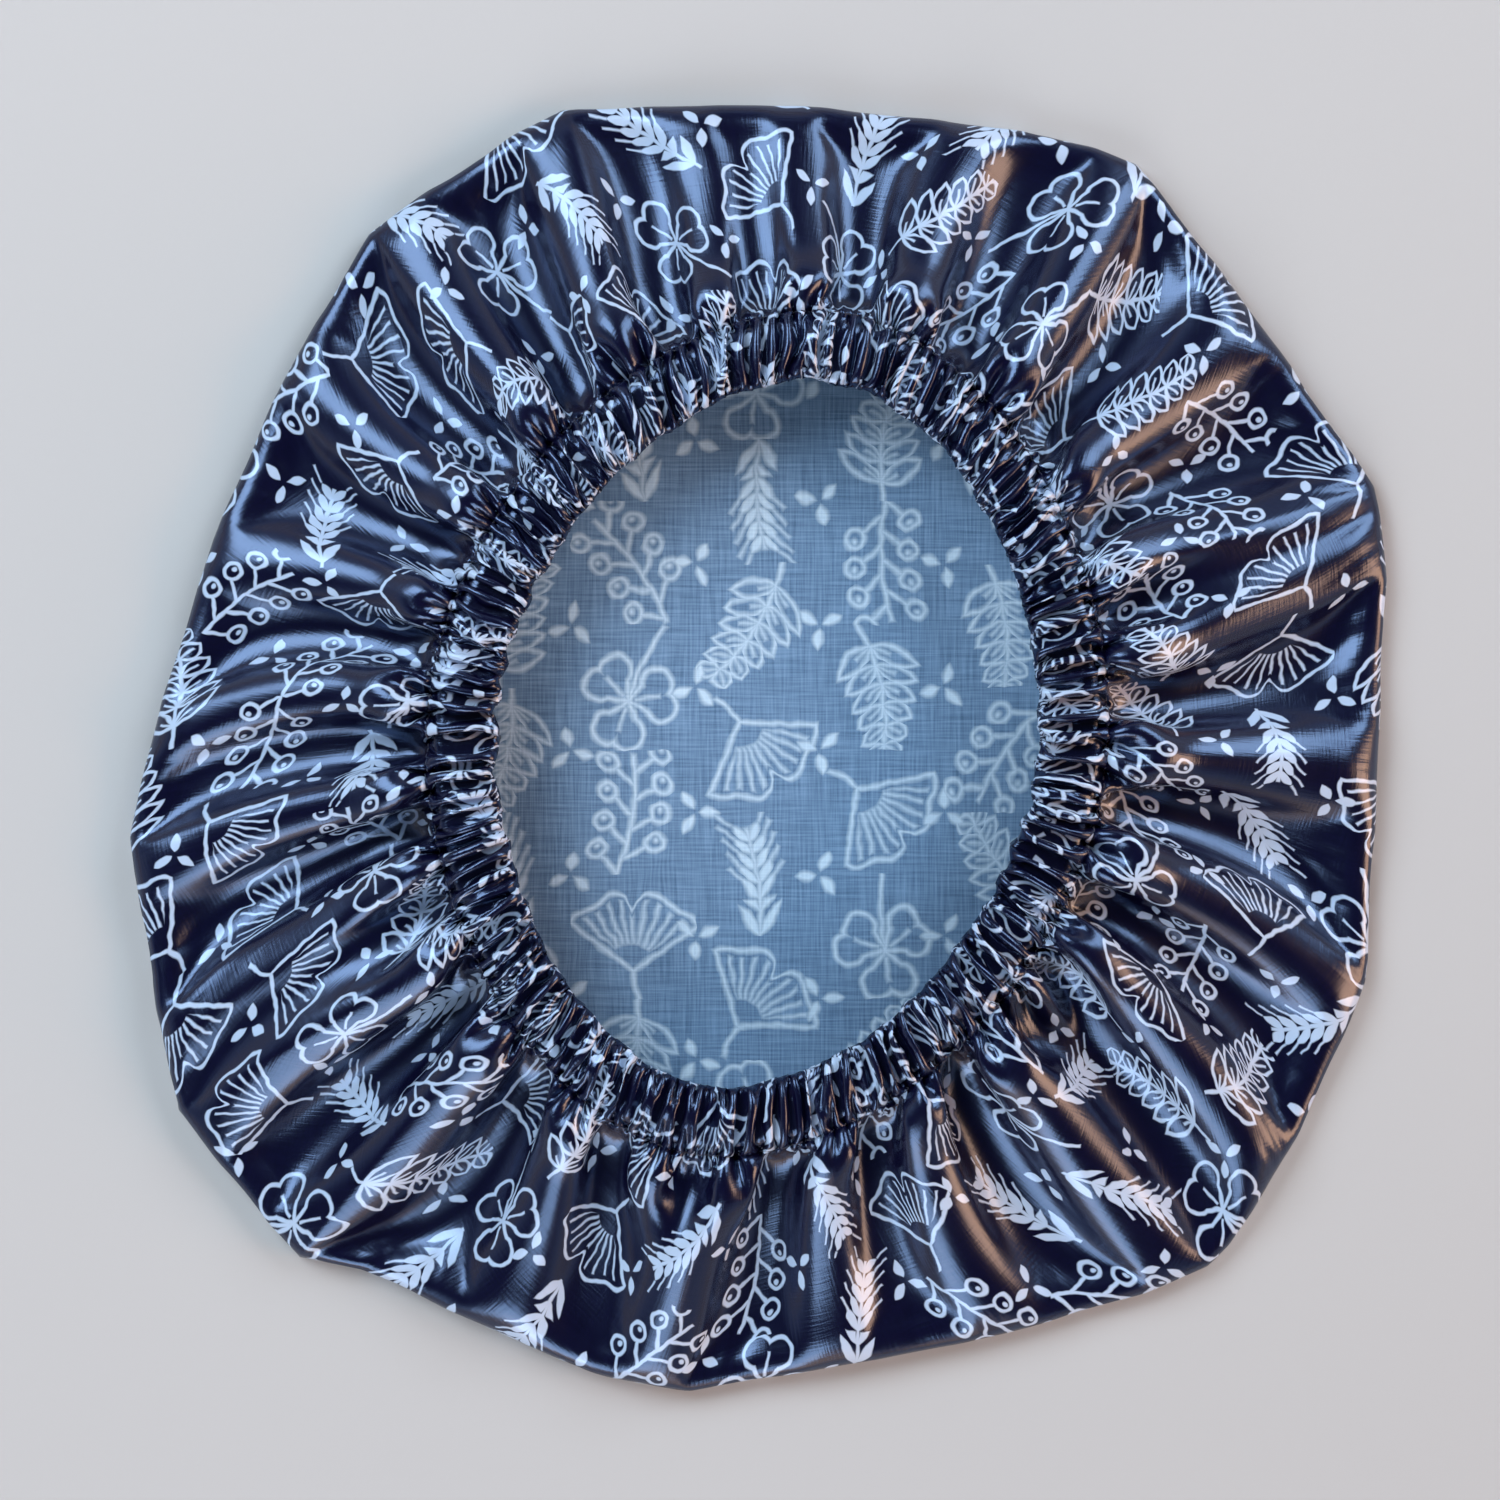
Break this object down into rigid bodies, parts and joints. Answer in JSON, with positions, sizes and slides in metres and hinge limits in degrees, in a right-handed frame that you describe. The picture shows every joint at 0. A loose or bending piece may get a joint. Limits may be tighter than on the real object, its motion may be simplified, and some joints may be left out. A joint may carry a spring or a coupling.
{
  "type": "shower cap",
  "caption": "Soft round shower cap lying crown down, its pleated skirt gathered by elastic in a sewn casing round an oval mouth; keeps hair dry.",
  "frame": {"origin": "middle of the flattened cap's outline, on the surface that the crown lies on", "axes": "+Z up out of the mouth, +X to the right and +Y up in the pictured view from above"},
  "size_m": [0.302, 0.308, 0.0266],
  "materials": {
    "laminated_cotton": "glossy clear film over navy printed cotton, plain cotton weave on the back",
    "elastic": "white knitted elastic",
    "thread": "navy polyester sewing thread"
  },
  "bodies": {
    "crown": {"crown_panel": "laminated_cotton", "gathered_skirt": "laminated_cotton"},
    "rim": {"casing_hem": "laminated_cotton", "elastic_band": "elastic", "elastic_join_stitching": "thread", "casing_needle_thread": "thread", "casing_bobbin_thread": "thread"}
  },
  "joints": [
    {"name": "rim_press", "type": "slide", "parent": "crown", "child": "rim", "axis": [0, 0, -1], "range_m": [0, 0.014], "stiffness_N_per_m": 80, "springref_m": -0.002, "deforming": ["gathered_skirt"]}
  ]
}
